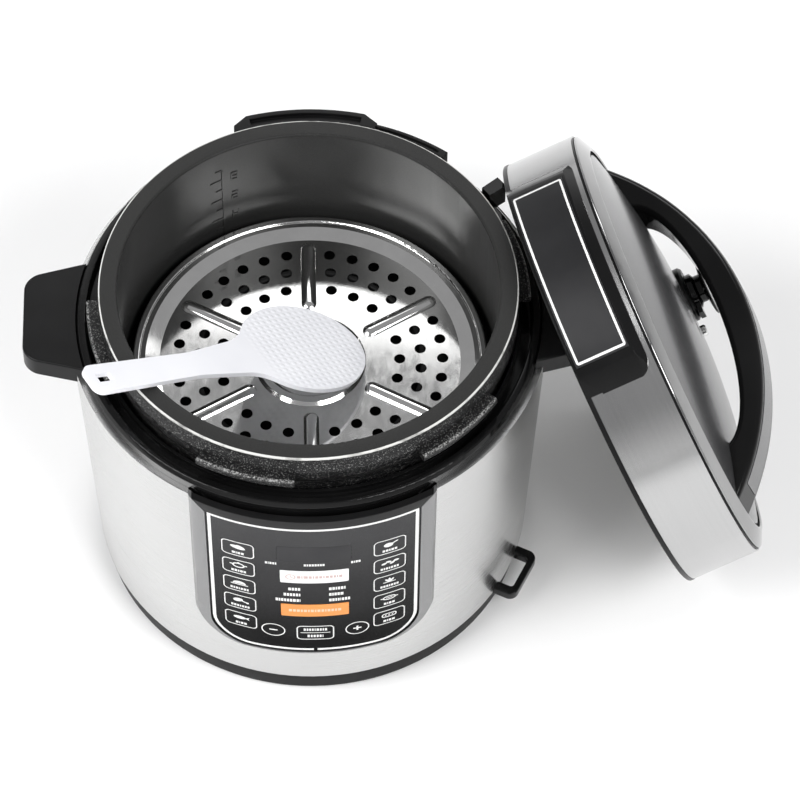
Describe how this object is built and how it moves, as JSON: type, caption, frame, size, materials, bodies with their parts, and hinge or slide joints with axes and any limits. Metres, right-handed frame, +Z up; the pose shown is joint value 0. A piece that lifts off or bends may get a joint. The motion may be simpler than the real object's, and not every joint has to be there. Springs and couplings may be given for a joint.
{
  "type": "electric pressure cooker",
  "caption": "Satin steel electric pressure cooker with front key panel, inner pot with steamer tray and rice paddle, and its domed lid leaning beside it.",
  "frame": {"origin": "centre of the cooker's base, on the surface it stands on", "axes": "+Z up, -Y out of the control panel, +X towards the handle on the panel's right, where the lid leans"},
  "size_m": [0.4318, 0.2887, 0.2674],
  "materials": {
    "steel_satin": "brushed",
    "steel_polished": "polished",
    "steel_sheet": "rolled sheet",
    "black_gloss": "gloss",
    "black_satin": "fine satin",
    "dome_grey": "satin",
    "trim_grey": "metallic satin",
    "panel_print": "satin gloss",
    "window_dark": "dark tinted",
    "cast_black": "hammered",
    "nonstick_grey": "satin non-stick",
    "cast_aluminium": "cast and turned",
    "element_steel": "heat stained",
    "silicone_grey": "matte",
    "rubber_black": "matte",
    "paddle_white": "satin",
    "board_green": "circuit board",
    "brass_pins": "plated",
    "key_white": "satin",
    "key_orange": "satin",
    "key_dark": "satin gloss"
  },
  "bodies": {
    "cooker": {"base_pan": "steel_sheet", "base_ring": "black_satin", "display_board": "board_green", "display_window": "window_dark", "heat_shield": "steel_sheet", "heating_element": "element_steel", "heating_plate": "cast_aluminium", "inlet_pins": "brass_pins", "left_handle": "black_satin", "outer_pot": "cast_black", "panel_apron": "black_satin", "panel_frame": "trim_grey", "panel_overlay": "panel_print", "pot_supports": "steel_sheet", "power_board": "board_green", "power_inlet": "black_satin", "pressure_switch": "black_satin", "rear_guard": "black_satin", "right_handle": "black_satin", "rubber_feet": "rubber_black", "sensor_spring": "steel_sheet", "side_bracket": "black_satin", "steel_shell": "steel_satin", "tact_switches": "black_satin", "top_collar": "black_gloss"},
    "inner_pot": {"inner_pot": "nonstick_grey"},
    "steam_stand": {"steam_stand": "steel_polished"},
    "steamer_tray": {"steamer_tray": "steel_polished"},
    "rice_paddle": {"rice_paddle": "paddle_white"},
    "sensor_plunger": {"sensor_plunger": "cast_aluminium"},
    "lid": {"lid_shroud": "black_satin", "lid_steel_band": "steel_satin", "lid_bevel_ring": "steel_polished", "lid_dome": "dome_grey", "badge_fairing": "black_satin", "badge_plate": "panel_print", "lid_handle": "black_gloss", "handle_inlay": "trim_grey", "valve_seat": "black_satin", "pressure_lid": "steel_sheet", "sealing_ring": "silicone_grey", "steam_filter": "steel_sheet"},
    "steam_valve": {"steam_valve": "black_gloss"},
    "float_valve": {"float_valve": "steel_polished"},
    "key_cancel": {"key_cancel": "key_dark"},
    "key_feature": {"key_feature": "key_orange"},
    "key_left_1": {"key_left_1": "key_dark"},
    "key_left_2": {"key_left_2": "key_dark"},
    "key_left_3": {"key_left_3": "key_dark"},
    "key_left_4": {"key_left_4": "key_dark"},
    "key_left_5": {"key_left_5": "key_dark"},
    "key_minus": {"key_minus": "key_dark"},
    "key_plus": {"key_plus": "key_dark"},
    "key_right_1": {"key_right_1": "key_dark"},
    "key_right_2": {"key_right_2": "key_dark"},
    "key_right_3": {"key_right_3": "key_dark"},
    "key_right_4": {"key_right_4": "key_dark"},
    "key_right_5": {"key_right_5": "key_dark"},
    "key_time": {"key_time": "key_white"}
  },
  "joints": [
    {"name": "inner_pot_lift", "type": "slide", "parent": "cooker", "child": "inner_pot", "axis": [0, 0, 1], "range_m": [0, 0.18]},
    {"name": "steam_stand_lift", "type": "slide", "parent": "inner_pot", "child": "steam_stand", "axis": [0, 0, 1], "range_m": [0, 0.12]},
    {"name": "steamer_tray_lift", "type": "slide", "parent": "steam_stand", "child": "steamer_tray", "axis": [0, 0, 1], "range_m": [0, 0.12]},
    {"name": "rice_paddle_lift", "type": "slide", "parent": "steamer_tray", "child": "rice_paddle", "axis": [0, 0, 1], "range_m": [0, 0.12]},
    {"name": "lid_away", "type": "slide", "parent": "cooker", "child": "lid", "axis": [0.9079, 0.228, 0.3518], "range_m": [0, 0.12]},
    {"name": "steam_valve_turn", "type": "hinge", "parent": "lid", "child": "steam_valve", "pos_m": [0.23053, 0.07165, 0.12095], "axis": [0.9079, 0.228, 0.3518], "range_deg": [-60, 60]},
    {"name": "float_valve_rise", "type": "slide", "parent": "lid", "child": "float_valve", "axis": [0.9079, 0.228, 0.3518], "range_m": [0, 0.0035]},
    {"name": "sensor_plunger_press", "type": "slide", "parent": "cooker", "child": "sensor_plunger", "axis": [0, 0, 1], "range_m": [-0.002, 0], "stiffness_N_per_m": 1000, "springref_m": 0.002},
    {"name": "key_cancel_press", "type": "slide", "parent": "cooker", "child": "key_cancel", "axis": [0, 1, 0], "range_m": [0, 0.0005], "stiffness_N_per_m": 400, "springref_m": -0.001},
    {"name": "key_feature_press", "type": "slide", "parent": "cooker", "child": "key_feature", "axis": [0, 1, 0], "range_m": [0, 0.0005], "stiffness_N_per_m": 400, "springref_m": -0.001},
    {"name": "key_left_1_press", "type": "slide", "parent": "cooker", "child": "key_left_1", "axis": [0, 1, 0], "range_m": [0, 0.0005], "stiffness_N_per_m": 400, "springref_m": -0.001},
    {"name": "key_left_2_press", "type": "slide", "parent": "cooker", "child": "key_left_2", "axis": [0, 1, 0], "range_m": [0, 0.0005], "stiffness_N_per_m": 400, "springref_m": -0.001},
    {"name": "key_left_3_press", "type": "slide", "parent": "cooker", "child": "key_left_3", "axis": [0, 1, 0], "range_m": [0, 0.0005], "stiffness_N_per_m": 400, "springref_m": -0.001},
    {"name": "key_left_4_press", "type": "slide", "parent": "cooker", "child": "key_left_4", "axis": [0, 1, 0], "range_m": [0, 0.0005], "stiffness_N_per_m": 400, "springref_m": -0.001},
    {"name": "key_left_5_press", "type": "slide", "parent": "cooker", "child": "key_left_5", "axis": [0, 1, 0], "range_m": [0, 0.0005], "stiffness_N_per_m": 400, "springref_m": -0.001},
    {"name": "key_minus_press", "type": "slide", "parent": "cooker", "child": "key_minus", "axis": [0, 1, 0], "range_m": [0, 0.0005], "stiffness_N_per_m": 400, "springref_m": -0.001},
    {"name": "key_plus_press", "type": "slide", "parent": "cooker", "child": "key_plus", "axis": [0, 1, 0], "range_m": [0, 0.0005], "stiffness_N_per_m": 400, "springref_m": -0.001},
    {"name": "key_right_1_press", "type": "slide", "parent": "cooker", "child": "key_right_1", "axis": [0, 1, 0], "range_m": [0, 0.0005], "stiffness_N_per_m": 400, "springref_m": -0.001},
    {"name": "key_right_2_press", "type": "slide", "parent": "cooker", "child": "key_right_2", "axis": [0, 1, 0], "range_m": [0, 0.0005], "stiffness_N_per_m": 400, "springref_m": -0.001},
    {"name": "key_right_3_press", "type": "slide", "parent": "cooker", "child": "key_right_3", "axis": [0, 1, 0], "range_m": [0, 0.0005], "stiffness_N_per_m": 400, "springref_m": -0.001},
    {"name": "key_right_4_press", "type": "slide", "parent": "cooker", "child": "key_right_4", "axis": [0, 1, 0], "range_m": [0, 0.0005], "stiffness_N_per_m": 400, "springref_m": -0.001},
    {"name": "key_right_5_press", "type": "slide", "parent": "cooker", "child": "key_right_5", "axis": [0, 1, 0], "range_m": [0, 0.0005], "stiffness_N_per_m": 400, "springref_m": -0.001},
    {"name": "key_time_press", "type": "slide", "parent": "cooker", "child": "key_time", "axis": [0, 1, 0], "range_m": [0, 0.0005], "stiffness_N_per_m": 400, "springref_m": -0.001}
  ]
}
